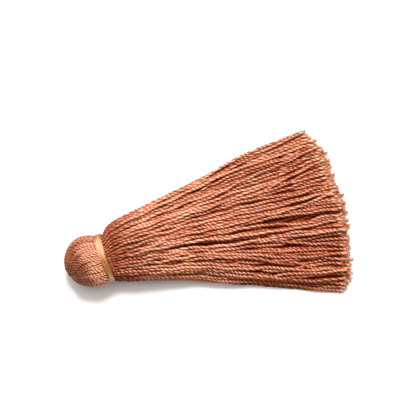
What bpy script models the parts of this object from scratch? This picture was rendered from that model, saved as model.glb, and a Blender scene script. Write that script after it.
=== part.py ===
"""A silky thread tassel lying on a table with its skirt spread into a fan.

Two pieces: the bundle of twisted cords, folded into a ribbed round head and hanging out of the neck as separate
strands, and the binding of flat floss wound round the neck. Metres, +Z up. The table is the plane Z = 0.
Plan angles are counted from +X, which runs down the middle of the fan, towards +Y.
"""

import math

import bmesh
import bpy
from mathutils import Matrix, Vector

# Head: a ball of cords, fuller towards the neck and a little flattened where it rests. Its crown is turned aside
# and tipped up from the neck's axis.
HEAD_RADIUS = 0.0072
HEAD_CENTRE_HEIGHT = 0.00715
HEAD_YAW = math.radians(9.0)
CROWN_YAW = math.radians(29.0)
CROWN_RISE = math.radians(16.0)
# The ball runs from its crown to the neck, and grows full between two angles from the crown.
CROWN_ANGLE = math.radians(12.0)
HEAD_LAST_ANGLE = math.radians(112.0)
HEAD_FULLNESS = 0.055
FULL_FROM_ANGLE = math.radians(50.0)
FULL_BY_ANGLE = math.radians(105.0)
HEAD_BANDS = 5
RIB_COUNT = 56
RIB_DEPTH = 0.00014

# Neck: distances are measured from the head's centre along its axis, which lies a little to one side.
NECK_SIDE_SHIFT = -0.0005
NECK_RADIUS = 0.00615
NECK_START = 0.0029
NECK_END = 0.0058

# Binding: turns of floss side by side.
CLEARANCE = 0.0003
BINDING_START = NECK_START + CLEARANCE
BINDING_END = NECK_END - CLEARANCE
BINDING_TURNS = 4
BINDING_STEPS = 48
FLOSS_THICKNESS = 0.00045
FLOSS_VALLEY = 0.00014

# Strands: one cord each, three-sided, set out on a golden-ratio lattice that stays evenly spread
# however far the bundle is flattened.
STRAND_COUNT = 240
STRAND_SIDES = 3
STRAND_RADIUS = 0.0004
ROOT_RADIUS_SHARE = 0.70
ROOT_DEPTH = 0.0005
ROOT_DISC_RADIUS = 0.0055
LATTICE_STEPS = 60
LATTICE_OFFSET = (0.31, 0.17)
GOLDEN = (1 + math.sqrt(5)) / 2
# Strands that come this near to the table lie flat on it.
TABLE_BAND = 0.0001

# Skirt: the strands run out from a point behind the neck, the fan's apex. Each row is a section of the skirt at a
# distance from the neck: its two side edges seen from above, the height of its pile, the lift of its underside
# off the table, and how far its rounded sides have settled flat.
APEX_BEHIND_NECK = 0.0335
APEX_SIDE_SHIFT = 0.00074
SKIRT_COLUMNS = ("reach", "right_edge", "left_edge", "height", "lift", "settled")
SKIRT_SECTIONS = (
    (0.0032, -13.4, 13.6, 0.0134, 0.0004, 0.00),
    (0.0080, -13.0, 14.1, 0.0136, 0.0000, 0.10),
    (0.0220, -12.4, 14.6, 0.0108, 0.0000, 0.40),
    (0.0450, -13.2, 15.4, 0.0077, 0.0000, 0.85),
    (0.0658, -13.7, 14.5, 0.0056, 0.0000, 1.00),
)
# Cut ends: how much shorter the strands are across the fan, as (place from right to left, shorter by), and how far
# the scissors left each one long or short. The unevenness steps from strand to strand by an irrational share.
CUT_PROFILE = (
    (-1.0, 0.0014), (-0.85, 0.0), (0.1, 0.0), (0.6, 0.0008), (0.8, 0.0018), (0.95, 0.0032), (1.0, 0.0040),
)
CUT_UNEVENNESS = 0.0007
CUT_STEP = 0.754877666

SHARP_ANGLE = math.radians(35.0)
MERGE_DISTANCE = 1e-6
THREAD_COLOUR = (0.55, 0.20, 0.11, 1.0)
THREAD_ROUGHNESS = 0.45
FLOSS_COLOUR = (0.78, 0.42, 0.20, 1.0)
FLOSS_ROUGHNESS = 0.30


def clear_scene():
    for obj in list(bpy.data.objects):
        bpy.data.objects.remove(obj, do_unlink=True)


def new_collection(name):
    collection = bpy.data.collections.new(name)
    bpy.context.scene.collection.children.link(collection)
    return collection


def principled(name, colour, roughness):
    material = bpy.data.materials.new(name)
    material.use_nodes = True
    shader = material.node_tree.nodes["Principled BSDF"]
    shader.inputs["Base Color"].default_value = colour
    shader.inputs["Roughness"].default_value = roughness
    shader.inputs["Metallic"].default_value = 0.0
    return material


def add_object(name, data, collection, material):
    obj = bpy.data.objects.new(name, data)
    collection.objects.link(obj)
    data.materials.append(material)
    return obj


def yaw_direction(yaw):
    return Vector((math.cos(yaw), math.sin(yaw), 0.0))


def eased(share):
    """A share from 0 to 1 that starts and ends gently."""
    share = min(1.0, max(0.0, share))
    return share * share * (3 - 2 * share)


def head_centre():
    return Vector((0.0, 0.0, HEAD_CENTRE_HEIGHT))


def neck_point(distance):
    """The point of the neck's axis at a distance from the head's centre."""
    aside = yaw_direction(HEAD_YAW + math.pi / 2) * NECK_SIDE_SHIFT
    return head_centre() + yaw_direction(HEAD_YAW) * distance + aside


def rib_offset(column):
    """Ribs stand out on even columns and their grooves lie on odd ones."""
    return 0.0 if column % 2 == 0 else -RIB_DEPTH


def ring_points(centre, along, radius):
    """One ribbed ring of the head, square to the direction along."""
    sideways = Vector((-along.y, along.x, 0.0)).normalized()
    upwards = along.cross(sideways)
    points = []
    for column in range(2 * RIB_COUNT):
        around = math.tau * column / (2 * RIB_COUNT)
        out = sideways * math.cos(around) + upwards * math.sin(around)
        points.append(centre + out * (radius + rib_offset(column)))
    return points


def head_rings():
    """The rings from the crown over the ball, then the neck under the binding."""
    rings = []
    for band in range(HEAD_BANDS + 1):
        share = band / HEAD_BANDS
        angle = CROWN_ANGLE + (HEAD_LAST_ANGLE - CROWN_ANGLE) * share
        turned = eased(share)
        yaw = CROWN_YAW + (HEAD_YAW - CROWN_YAW) * turned
        rise = CROWN_RISE * (1 - turned)
        along = yaw_direction(yaw) * math.cos(rise) - Vector((0.0, 0.0, math.sin(rise)))
        full = 1 + HEAD_FULLNESS * eased((angle - FULL_FROM_ANGLE) / (FULL_BY_ANGLE - FULL_FROM_ANGLE))
        centre = head_centre() - along * (HEAD_RADIUS * math.cos(angle))
        rings.append(ring_points(centre, along, HEAD_RADIUS * full * math.sin(angle)))
    for distance in (NECK_START, NECK_END):
        rings.append(ring_points(neck_point(distance), yaw_direction(HEAD_YAW), NECK_RADIUS))
    return rings


def make_head_mesh():
    """A capped circle extruded ring by ring, with a small flat cut where the head rests."""
    rings = head_rings()
    shape = bmesh.new()
    bmesh.ops.create_circle(shape, segments=2 * RIB_COUNT, radius=1.0, cap_ends=True)
    shape.verts.ensure_lookup_table()
    for vert, point in zip(shape.verts, rings[0]):
        vert.co = point
    edges = list(shape.edges)
    front = list(shape.verts)
    for ring in rings[1:]:
        made = bmesh.ops.extrude_edge_only(shape, edges=edges)["geom"]
        edges = [item for item in made if isinstance(item, bmesh.types.BMEdge)]
        new_verts = {item for item in made if isinstance(item, bmesh.types.BMVert)}
        front = [next(e.other_vert(v) for e in v.link_edges if e.other_vert(v) in new_verts) for v in front]
        edges = [e for e in edges if e.verts[0] in new_verts and e.verts[1] in new_verts]
        for vert, point in zip(front, ring):
            vert.co = point
    bmesh.ops.contextual_create(shape, geom=edges)
    bmesh.ops.recalc_face_normals(shape, faces=shape.faces)
    everything = list(shape.verts) + list(shape.edges) + list(shape.faces)
    cut = bmesh.ops.bisect_plane(
        shape, geom=everything, plane_co=(0.0, 0.0, 0.0), plane_no=(0.0, 0.0, 1.0), clear_inner=True
    )["geom_cut"]
    rim = [item for item in cut if isinstance(item, bmesh.types.BMEdge)]
    bmesh.ops.holes_fill(shape, edges=rim, sides=0)
    bmesh.ops.recalc_face_normals(shape, faces=shape.faces)
    mesh = bpy.data.meshes.new("head_and_neck")
    shape.to_mesh(mesh)
    shape.free()
    mesh.shade_smooth()
    mesh.set_sharp_from_angle(angle=SHARP_ANGLE)
    return mesh


def lattice_places():
    """Where each strand stands in the round bundle, as (sideways, upwards), from -1 to 1, the middle first."""
    steps = range(-LATTICE_STEPS, LATTICE_STEPS + 1)
    aside, above = LATTICE_OFFSET
    places = []
    for i in steps:
        for j in steps:
            place = (i + j * GOLDEN + aside, i - j / GOLDEN + above)
            places.append((math.hypot(*place), place))
    places.sort()
    kept = places[:STRAND_COUNT]
    outermost = kept[-1][0]
    return [(side / outermost, up / outermost) for _, (side, up) in kept]


def wobble(index):
    """A repeatable number from -1 to 1 for a strand."""
    return math.modf((index + 1) * CUT_STEP)[0] * 2 - 1


def apex():
    start = neck_point(NECK_END)
    return Vector((start.x - APEX_BEHIND_NECK, start.y + APEX_SIDE_SHIFT, 0.0))


def section_point(section, place, reach):
    """Where the strand at this place of the bundle crosses a section of the skirt."""
    row = dict(zip(SKIRT_COLUMNS, section))
    side, up = place
    distance = APEX_BEHIND_NECK + reach
    inset = math.degrees(STRAND_RADIUS / distance)
    right, left = row["right_edge"] + inset, row["left_edge"] - inset
    angle = math.radians(right + (left - right) * (side + 1) / 2)
    sagged = row["settled"] * (1 - math.sqrt(max(0.0, 1 - side * side)))
    pile = (row["height"] - row["lift"] - 2 * STRAND_RADIUS) * (up + 1 - sagged) / 2
    on_table = STRAND_RADIUS / 2
    above = row["lift"] + max(0.0, pile - TABLE_BAND)
    return apex() + yaw_direction(angle) * distance + Vector((0.0, 0.0, on_table + above))


def last_reach(index, place):
    """How far from the neck this strand was cut."""
    side = max(-1.0, min(1.0, place[0]))
    for (left, first), (right, second) in zip(CUT_PROFILE, CUT_PROFILE[1:]):
        if side <= right:
            shorter = first + (second - first) * (side - left) / (right - left)
            break
    return SKIRT_SECTIONS[-1][0] - shorter + CUT_UNEVENNESS * wobble(index)


def strand_route(index, place):
    """The strand's points from inside the neck to its cut end."""
    side, up = place
    across = yaw_direction(HEAD_YAW + math.pi / 2) * (side * ROOT_DISC_RADIUS)
    root = neck_point(NECK_END - ROOT_DEPTH) + across + Vector((0.0, 0.0, up * ROOT_DISC_RADIUS))
    route = [root]
    for section in SKIRT_SECTIONS[:-1]:
        route.append(section_point(section, place, section[0]))
    route.append(section_point(SKIRT_SECTIONS[-1], place, last_reach(index, place)))
    return route


def make_strand_section(collection):
    """The outline of one cord, flat side down."""
    outline = bpy.data.curves.new("strand_section", "CURVE")
    outline.dimensions = "2D"
    spline = outline.splines.new("POLY")
    spline.points.add(STRAND_SIDES - 1)
    for corner, point in enumerate(spline.points):
        angle = math.pi / 2 + math.tau * corner / STRAND_SIDES
        point.co = (STRAND_RADIUS * math.cos(angle), STRAND_RADIUS * math.sin(angle), 0.0, 1.0)
    spline.use_cyclic_u = True
    guide = bpy.data.objects.new("strand_section", outline)
    collection.objects.link(guide)
    guide.hide_render = True
    guide.display_type = "WIRE"
    return guide


def make_strands_mesh(guides):
    """Every strand as one spline of a bevelled curve, turned into a mesh with its caps welded."""
    curve = bpy.data.curves.new("strands", "CURVE")
    curve.dimensions = "3D"
    curve.twist_mode = "Z_UP"
    curve.bevel_mode = "OBJECT"
    curve.bevel_object = make_strand_section(guides)
    curve.use_fill_caps = True
    for index, place in enumerate(lattice_places()):
        route = strand_route(index, place)
        spline = curve.splines.new("POLY")
        spline.points.add(len(route) - 1)
        for number, (point, where) in enumerate(zip(spline.points, route)):
            point.co = (*where, 1.0)
            point.radius = ROOT_RADIUS_SHARE if number == 0 else 1.0
    holder = bpy.data.objects.new("strands_curve", curve)
    guides.objects.link(holder)
    graph = bpy.context.evaluated_depsgraph_get()
    mesh = bpy.data.meshes.new_from_object(holder.evaluated_get(graph))
    bpy.data.objects.remove(holder, do_unlink=True)
    shape = bmesh.new()
    shape.from_mesh(mesh)
    bmesh.ops.remove_doubles(shape, verts=shape.verts, dist=MERGE_DISTANCE)
    bmesh.ops.recalc_face_normals(shape, faces=shape.faces)
    shape.to_mesh(mesh)
    shape.free()
    return mesh


def make_thread_bundle(collection, guides, material):
    """Head and strands, fused at the strands' roots in the neck."""
    bundle = add_object("thread_bundle", make_head_mesh(), collection, material)
    strands = add_object("strands", make_strands_mesh(guides), guides, material)
    strands.hide_render = True
    strands.display_type = "WIRE"
    strands.parent = bundle
    union = bundle.modifiers.new("fuse_roots", "BOOLEAN")
    union.operation = "UNION"
    union.solver = "EXACT"
    union.use_self = True
    union.object = strands
    return bundle


def binding_profile():
    """The band's section as (radius, height) points: ridged outer side from the top down, plain inner side."""
    inner = NECK_RADIUS + CLEARANCE
    width = BINDING_END - BINDING_START
    turn = width / BINDING_TURNS
    profile = []
    for step in range(2 * BINDING_TURNS + 1):
        crest = step % 2 == 1
        radius = inner + FLOSS_THICKNESS - (0.0 if crest else FLOSS_VALLEY)
        profile.append((radius, width / 2 - step * turn / 2))
    profile.append((inner, -width / 2))
    profile.append((inner, width / 2))
    return profile


def make_neck_binding(collection, material):
    """The wound floss, turned about its own Z and laid over the neck."""
    mesh = bpy.data.meshes.new("neck_binding")
    points = [(radius, 0.0, height) for radius, height in binding_profile()]
    edges = [(i, (i + 1) % len(points)) for i in range(len(points))]
    mesh.from_pydata(points, edges, [])
    binding = add_object("neck_binding", mesh, collection, material)
    turned = binding.modifiers.new("wind", "SCREW")
    turned.axis = "Z"
    turned.steps = BINDING_STEPS
    turned.render_steps = BINDING_STEPS
    turned.use_smooth_shade = True
    turned.use_merge_vertices = True
    turned.merge_threshold = MERGE_DISTANCE
    middle = neck_point((BINDING_START + BINDING_END) / 2)
    along = Matrix.Rotation(HEAD_YAW, 4, "Z") @ Matrix.Rotation(math.pi / 2, 4, "Y")
    binding.matrix_world = Matrix.Translation(middle) @ along
    return binding


def stand_on_origin(objects, collection):
    """Parents the pieces to one empty, which puts the middle of their box over the origin."""
    stand = bpy.data.objects.new("tassel_on_table", None)
    collection.objects.link(stand)
    for obj in objects:
        obj.parent = stand
    bpy.context.view_layer.update()
    graph = bpy.context.evaluated_depsgraph_get()
    corners = []
    for obj in objects:
        evaluated = obj.evaluated_get(graph)
        corners += [evaluated.matrix_world @ Vector(corner) for corner in evaluated.bound_box]
    for axis in (0, 1):
        values = [corner[axis] for corner in corners]
        stand.location[axis] = -(min(values) + max(values)) / 2
    return stand


def main():
    clear_scene()
    tassel = new_collection("tassel")
    guides = new_collection("guides")
    guides.hide_render = True
    threads = principled("threads", THREAD_COLOUR, THREAD_ROUGHNESS)
    floss = principled("floss", FLOSS_COLOUR, FLOSS_ROUGHNESS)
    bundle = make_thread_bundle(tassel, guides, threads)
    binding = make_neck_binding(tassel, floss)
    stand_on_origin([bundle, binding], tassel)


main()
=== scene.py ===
"""A silky thread tassel lying on a table: a folded head of twisted cords, floss wound round its neck,
and a loose skirt of two-ply cords spread into a fan. Metres, +Z up, +X down the middle of the skirt."""

import math

import bpy
import numpy as np
from bpy.props import FloatProperty, FloatVectorProperty, IntProperty, PointerProperty
from bpy.types import Operator, Panel, PropertyGroup
from mathutils import Matrix, Vector


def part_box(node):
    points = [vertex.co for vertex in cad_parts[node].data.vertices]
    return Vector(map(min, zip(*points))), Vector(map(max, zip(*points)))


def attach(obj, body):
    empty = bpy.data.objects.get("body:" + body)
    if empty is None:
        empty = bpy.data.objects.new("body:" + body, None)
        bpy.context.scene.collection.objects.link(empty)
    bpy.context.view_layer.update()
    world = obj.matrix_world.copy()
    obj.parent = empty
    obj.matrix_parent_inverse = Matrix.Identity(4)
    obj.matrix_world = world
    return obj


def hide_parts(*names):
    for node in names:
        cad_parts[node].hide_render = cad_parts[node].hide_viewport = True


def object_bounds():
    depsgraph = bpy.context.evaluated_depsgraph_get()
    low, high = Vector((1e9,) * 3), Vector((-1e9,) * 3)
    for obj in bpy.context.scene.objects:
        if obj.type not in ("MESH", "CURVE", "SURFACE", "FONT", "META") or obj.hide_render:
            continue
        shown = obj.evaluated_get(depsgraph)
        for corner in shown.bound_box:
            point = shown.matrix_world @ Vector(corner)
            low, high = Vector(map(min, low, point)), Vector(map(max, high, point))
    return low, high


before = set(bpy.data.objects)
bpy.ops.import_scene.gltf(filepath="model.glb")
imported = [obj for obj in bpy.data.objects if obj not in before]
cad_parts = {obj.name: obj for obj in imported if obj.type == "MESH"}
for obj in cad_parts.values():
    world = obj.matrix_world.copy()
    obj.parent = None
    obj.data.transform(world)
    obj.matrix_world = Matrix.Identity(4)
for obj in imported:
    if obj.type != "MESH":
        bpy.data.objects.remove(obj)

bl_info = {
    "name": "Thread Tassel",
    "version": (1, 0, 0),
    "blender": (4, 5, 0),
    "location": "View3D > Sidebar > Tassel",
    "description": "Builds a tassel of two-ply cords with a bound neck, a fanned skirt and frayed cut ends",
    "category": "Add Mesh",
}

CAD_BOX = [list(corner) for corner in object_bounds()]
MM = 0.001
TAU = math.tau
UP = np.array([0.0, 0.0, 1.0])
DEGREE = math.radians(1.0)

norm = np.linalg.norm

# Where the head, neck and fan stand, from the solids.
HEAD_YAW = 9.0 * DEGREE
CROWN_YAW = 29.0 * DEGREE
CROWN_RISE = 16.0 * DEGREE
NECK_SIDE_SHIFT = -0.5 * MM
BINDING_FROM_HEAD = 4.35 * MM
NECK_END = 5.8 * MM
HEAD_RADIUS = 7.25 * MM
HEAD_FULLNESS = 0.06
NECK_RADIUS = 6.15 * MM
BINDING_MIDDLE = np.array(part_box("neck_binding")).mean(axis=0)


def plan(yaw):
    """A level direction at an angle from +X."""
    return np.array([math.cos(yaw), math.sin(yaw), 0.0])


AHEAD = plan(HEAD_YAW)
LEFTWARDS = plan(HEAD_YAW + math.pi / 2)
NECK_SHIFT = LEFTWARDS * NECK_SIDE_SHIFT
HEAD_CENTRE = BINDING_MIDDLE - AHEAD * BINDING_FROM_HEAD - NECK_SHIFT
FLOOR_Z = CAD_BOX[0][2]

# The fan's sections: the reach from the neck, the angles of the right and left edges at the apex, and the
# pile's height, lift off the table and flatness.
FAN_BEHIND_NECK, FAN_SIDE_SHIFT = 33.5 * MM, 0.74 * MM
FAN_UNITS = (DEGREE, DEGREE, MM, MM, 1.0)
FAN_SECTIONS = np.array([
    (0.8, -13.2, 12.0, 12.2, 0.5, 0.00),
    (3.2, -13.4, 13.6, 13.2, 0.3, 0.00),
    (8.0, -13.0, 14.1, 13.8, 0.0, 0.05),
    (15.0, -12.5, 14.4, 12.6, 0.0, 0.15),
    (22.0, -12.3, 14.6, 11.2, 0.0, 0.20),
    (33.0, -12.9, 14.9, 9.3, 0.0, 0.45),
    (39.3, -12.9, 15.2, 8.5, 0.0, 0.60),
    (45.0, -13.2, 15.4, 7.8, 0.0, 0.75),
    (58.0, -13.5, 14.8, 6.4, 0.0, 1.00),
    (67.5, -13.7, 14.5, 5.7, 0.0, 1.00),
    (72.0, -13.8, 14.5, 5.4, 0.0, 1.00),
])
STATIONS = np.array([
    0.8, 2.4, 4.6, 7.2, 10.2, 13.6, 17.2, 21.0, 25.0, 29.2,
    33.5, 38.0, 42.5, 47.0, 51.5, 56.0, 60.5, 65.0, 71.5,
]) * MM
# Each cord's length from its root under the binding to the neck's end.
ROOT_LENGTH = 2.6 * MM


# ---- settings

LENGTH, SHARE = {"unit": "LENGTH", "subtype": "DISTANCE"}, {"subtype": "FACTOR"}


def number(name, description, default, **more):
    return FloatProperty(name=name, description=description, default=default, **more)


def angle_of(name, description, degrees):
    return number(name, description, math.radians(degrees), subtype="ANGLE")


def count(name, description, default, **more):
    return IntProperty(name=name, description=description, default=default, **more)


def paint(name, description, default):
    limits = {"size": 3, "min": 0.0, "max": 1.0, "subtype": "COLOR"}
    return FloatVectorProperty(name=name, description=description, default=default, **limits)


class TasselCordSettings(PropertyGroup):
    diameter: number("Cord diameter", "Thickness of one two-ply cord", 1.05 * MM, min=0.1 * MM, **LENGTH)
    turn: number("Turn length", "Length in which a cord's plies turn once", 2.9 * MM, min=0.5 * MM, **LENGTH)
    ring_turns: angle_of("Turn between rings", "Angle that the plies turn from ring to ring of points", 45.0)
    colour: paint("Thread colour", "Colour of the dyed thread", (0.40, 0.127, 0.061))
    pale_colour: paint("Pale thread colour", "Colour of the palest cords", (0.57, 0.215, 0.11))
    deep_colour: paint("Deep thread colour", "Colour of the darkest cords", (0.25, 0.055, 0.018))


class TasselSkirtSettings(PropertyGroup):
    cords: count("Cords", "How many cords hang from the neck", 240, min=20, max=300)
    length: number("Length", "From the neck to the cut ends", 65.8 * MM, **LENGTH)
    cut_unevenness: number("Cut unevenness", "How unevenly the cords are cut", 0.9 * MM, **LENGTH)
    locks: count("Locks", "How many locks the cords gather into", 22, min=1)
    lock_pull: number("Lock pull", "How far cords draw into their lock", 0.20, min=0.0, max=0.9, **SHARE)
    stray_shift: number("Stray shift", "How far single cords wander out of line", 1.4 * MM, **LENGTH)
    partings: count("Partings", "How many grooves open between the cords", 60, min=0)
    parting_width: number("Parting width", "How wide the grooves open", 0.55 * MM, **LENGTH)
    seed: count("Seed", "Seed of the skirt's random arrangement", 7)


class TasselHeadSettings(PropertyGroup):
    cords: count("Cords", "Cords side by side round the widest part", 78, min=8)
    squeeze: number("Squeeze", "Thickness against the skirt's cords", 0.74, min=0.2, max=1.5, **SHARE)
    turn: number("Turn length", "Length in which a drawn cord's plies turn once", 1.8 * MM, **LENGTH)
    crown_angle: angle_of("Crown angle", "How near the crown the first cords start", 5.0)
    seed: count("Seed", "Seed of the head's random arrangement", 3)


class TasselBindingSettings(PropertyGroup):
    turns: count("Turns", "Turns of floss round the neck", 4, min=1)
    filaments: count("Filaments", "Filaments side by side in one turn", 9, min=2)
    width: number("Width", "Width of the binding along the neck", 2.05 * MM, **LENGTH)
    colour: paint("Floss colour", "Colour of the floss", (0.55, 0.265, 0.12))
    seed: count("Seed", "Seed of the floss's random waviness", 11)


class TasselStageSettings(PropertyGroup):
    floor_colour: paint("Floor colour", "Colour of the table", (0.93, 0.925, 0.92))
    elevation: angle_of("Camera elevation", "Height of the camera above the table, as an angle", 85.0)
    distance: number("Camera distance", "From the camera to the tassel", 0.404, **LENGTH)
    lens: number("Lens", "Focal length in millimetres", 130.0)
    key_power: number("Key light", "Power of the large soft light", 3.3)
    crisp_power: number("Crisp light", "Power of the smaller light beside it", 3.5)
    sky_strength: number("Sky", "Strength of the even light all round", 0.22)


# ---- routes and tubes

def unit(vectors):
    """The same directions, one long."""
    return vectors / np.maximum(norm(vectors, axis=-1, keepdims=True), 1e-12)


def ease(value, over=1.0):
    """A smooth step from 0 to 1 over that width."""
    value = np.clip(value / over, 0.0, 1.0)
    return value * value * (3 - 2 * value)


def smooth_route(points, per_span=8):
    """Fine points along a smooth curve through the given ones."""
    p = np.vstack([2 * points[0] - points[1], points, 2 * points[-1] - points[-2]])
    t = np.linspace(0.0, 1.0, per_span, endpoint=False)[None, :, None]
    a, b, c, d = (p[k:len(p) - 3 + k, None, :] for k in range(4))
    curve = (2 * a - 5 * b + 4 * c - d) * t ** 2
    fine = 0.5 * (2 * b + (c - a) * t + curve + (3 * b - a - 3 * c + d) * t ** 3)
    return np.vstack([fine.reshape(-1, 3), points[-1:]])


def run_along(points):
    """How far along a route each of its points lies."""
    return np.concatenate([[0.0], np.cumsum(norm(np.diff(points, axis=0), axis=1))])


def even_route(points, step, length=math.inf):
    """Points a step apart along a route, cut to a length if one is given, and how far along each lies."""
    run = run_along(points)
    whole = min(length, run[-1])
    along = np.linspace(0.0, whole, max(3, int(round(whole / step)) + 1))
    return np.stack([np.interp(along, run, points[:, k]) for k in range(3)], axis=1), along


def between(values, stops):
    """The last stop that each value has passed, and the share of its way to the next."""
    place = np.interp(values, stops, np.arange(len(stops)))
    first = np.minimum(place.astype(int), len(stops) - 2)
    return first, (place - first)[:, None, None]


def directions(points, upward):
    """Along, side and top directions at each point of a route."""
    along = unit(np.gradient(points, axis=0))
    side = unit(np.cross(np.broadcast_to(upward, points.shape), along))
    return along, side, np.cross(along, side)


# The painted highlight on a ply: its width, and how far aside the ply may lie until it fades and is gone.
GLEAM_WIDTH, GLEAM_FADE, GLEAM_END = 34.0 * DEGREE, 60.0 * DEGREE, 105.0 * DEGREE


def ply_gleam(turned, spin):
    """How near each point of a section is to the crown of one of its plies, where light from above gleams: a
    painted highlight in the colour, and the shine.
    """
    from_top = np.arctan2(-np.cos(turned), np.sin(turned))
    gleam = np.zeros(turned.shape)
    for ply in (spin, spin + math.pi):
        lean = np.arctan2(-np.cos(ply), np.sin(ply))
        near = np.exp(-((from_top - lean[:, None] / 2) / GLEAM_WIDTH) ** 2)
        gleam += near * ease(GLEAM_END - np.abs(lean), GLEAM_FADE)[:, None]
    return gleam


# The bake map: a strip for each tube, with a small circle at either end.
STRIP_MARGIN, STRIP_START, STRIP_LENGTH = 0.06, 0.01, 0.96
FIRST_CIRCLE, LAST_CIRCLE, CIRCLE_LENGTH, CIRCLE_WIDTH = 0.004, 0.006, 0.003, 0.3
# How far on in the noise the next tube lies, a plain fibre's even painted highlight, and how deep grooves
# give a full painted highlight.
NOISE_SHIFT, PLAIN_GLEAM, FULL_RELIEF = 0.37, 0.35, 0.25


def joined(parts, kind=np.float32):
    """All the parts' numbers in one flat row."""
    return np.concatenate(parts).astype(kind).reshape(-1)


class Tubes:
    """Collects tubes of one piece: their points, faces, bake map and the numbers their material reads."""

    def __init__(self, strips):
        self.strips = strips
        self.points, self.corners, self.sizes, self.places = [], [], [], []
        self.numbers = {key: [] for key in ("straight", "tint", "crest", "ply_gleam", "open")}
        self.count = self.tube = 0

    def add(self, points, along, angles, radii, spin, scale, upward, tint, longest, openness=None,
            plain=PLAIN_GLEAM):
        """One tube. angles and radii give its section, spin turns it and scale sizes it at each point."""
        rings, around = len(points), len(angles)
        _, side, top = directions(points, upward)
        turned = angles + spin[:, None]
        reach = radii * scale[:, None]
        out = np.cos(turned)[..., None] * side[:, None, :] + np.sin(turned)[..., None] * top[:, None, :]
        surface = points[:, None, :] + out * reach[..., None]
        self.points.append(surface.reshape(-1, 3))
        drawn_out = np.broadcast_to(along[:, None], turned.shape) + self.tube * NOISE_SHIFT
        # The crest feeds painted shade in the ply grooves, and the gleam below a painted highlight on the ply
        # crowns.
        crest = np.broadcast_to(radii / radii.max(), turned.shape)
        relief = np.clip(np.ptp(crest, axis=1) / FULL_RELIEF, 0.0, 1.0)[:, None]
        for key, values in (
            ("straight", np.stack([drawn_out, np.cos(turned) * reach, np.sin(turned) * reach], axis=-1)),
            ("tint", np.repeat(np.broadcast_to(tint, rings), around)),
            ("crest", crest),
            ("ply_gleam", plain + (ply_gleam(turned, spin) - plain) * relief),
            ("open", np.ones(turned.shape) if openness is None else openness(surface, np.sin(turned))),
        ):
            self.numbers[key].append(values.reshape(-1))
        ring = self.count + np.arange(rings - 1)[:, None] * around
        here, there = np.arange(around), (np.arange(around) + 1) % around
        quads = np.stack([ring + here, ring + there, ring + around + there, ring + around + here], axis=-1)
        self.corners.append(quads.reshape(-1))
        self.sizes.append(np.full((rings - 1) * around, 4))
        low, high = ((self.tube + edge) / self.strips for edge in (STRIP_MARGIN, 1 - STRIP_MARGIN))
        u = STRIP_START + STRIP_LENGTH * along / longest
        v = low + (high - low) * np.arange(around + 1) / around
        grid = np.stack(np.meshgrid(u, v, indexing="ij"), axis=-1)
        square = (grid[:-1, :-1], grid[:-1, 1:], grid[1:, 1:], grid[1:, :-1])
        self.places.append(np.stack(square, axis=2).reshape(-1, 2))
        turn = TAU * np.arange(around) / around
        rise = (low + high) / 2 + CIRCLE_WIDTH * (high - low) * np.sin(turn)
        for end, way, middle in ((0, -1, FIRST_CIRCLE), (rings - 1, 1, u[-1] + LAST_CIRCLE)):
            self.corners.append(self.count + end * around + np.arange(around)[::way])
            self.sizes.append(np.array([around]))
            self.places.append(np.stack([middle + CIRCLE_LENGTH * np.cos(turn), rise], axis=-1))
        self.count += rings * around
        self.tube += 1

    def mesh(self, name):
        """The mesh of all the tubes so far."""
        mesh = bpy.data.meshes.new(name)
        corners, sizes = joined(self.corners, np.int32), joined(self.sizes, np.int32)
        mesh.vertices.add(self.count)
        mesh.vertices.foreach_set("co", joined(self.points))
        mesh.loops.add(len(corners))
        mesh.loops.foreach_set("vertex_index", corners)
        mesh.polygons.add(len(sizes))
        mesh.polygons.foreach_set("loop_start", joined([[0], np.cumsum(sizes)[:-1]], np.int32))
        mesh.update(calc_edges=True)
        mesh.polygons.foreach_set("use_smooth", np.ones(len(sizes), bool))
        mesh.uv_layers.new(name="OFBake").data.foreach_set("uv", joined(self.places))
        for key, values in self.numbers.items():
            kind, field = ("FLOAT_VECTOR", "vector") if key == "straight" else ("FLOAT", "value")
            mesh.attributes.new(key, kind, "POINT").data.foreach_set(field, joined(values))
        mesh.update()
        return mesh


# Quarters of two-ply sections as (degrees, share of the radius), the last two for cords that show little.
PLY_QUARTERS = {
    "full": ((0, 1.0), (38, 0.90), (90, 0.60)),
    "drawn": ((0, 1.0), (36, 0.84), (90, 0.42)),
    "lighter": ((32, 0.94), (90, 0.60)),
    "lightest": ((0, 0.98), (90, 0.66)),
}


def section(name, radius):
    """The angles and radii of a whole section, from its quarter."""
    ways = ((0, 1), (180, -1), (180, 1), (360, -1))
    whole = {(turn + way * angle) % 360: share for turn, way in ways for angle, share in PLY_QUARTERS[name]}
    rows = np.array(sorted(whole.items()))
    return np.radians(rows[:, 0]), rows[:, 1] * radius


def put_piece(name, tubes, material, replaced=()):
    """Puts the tubes in the scene as one piece, in place of the solids it stands for."""
    piece = bpy.data.objects.new(name, tubes.mesh(name))
    bpy.context.scene.collection.objects.link(piece)
    piece.data.materials.append(material)
    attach(piece, "root")
    if replaced:
        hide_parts(*replaced)


# ---- materials

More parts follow.
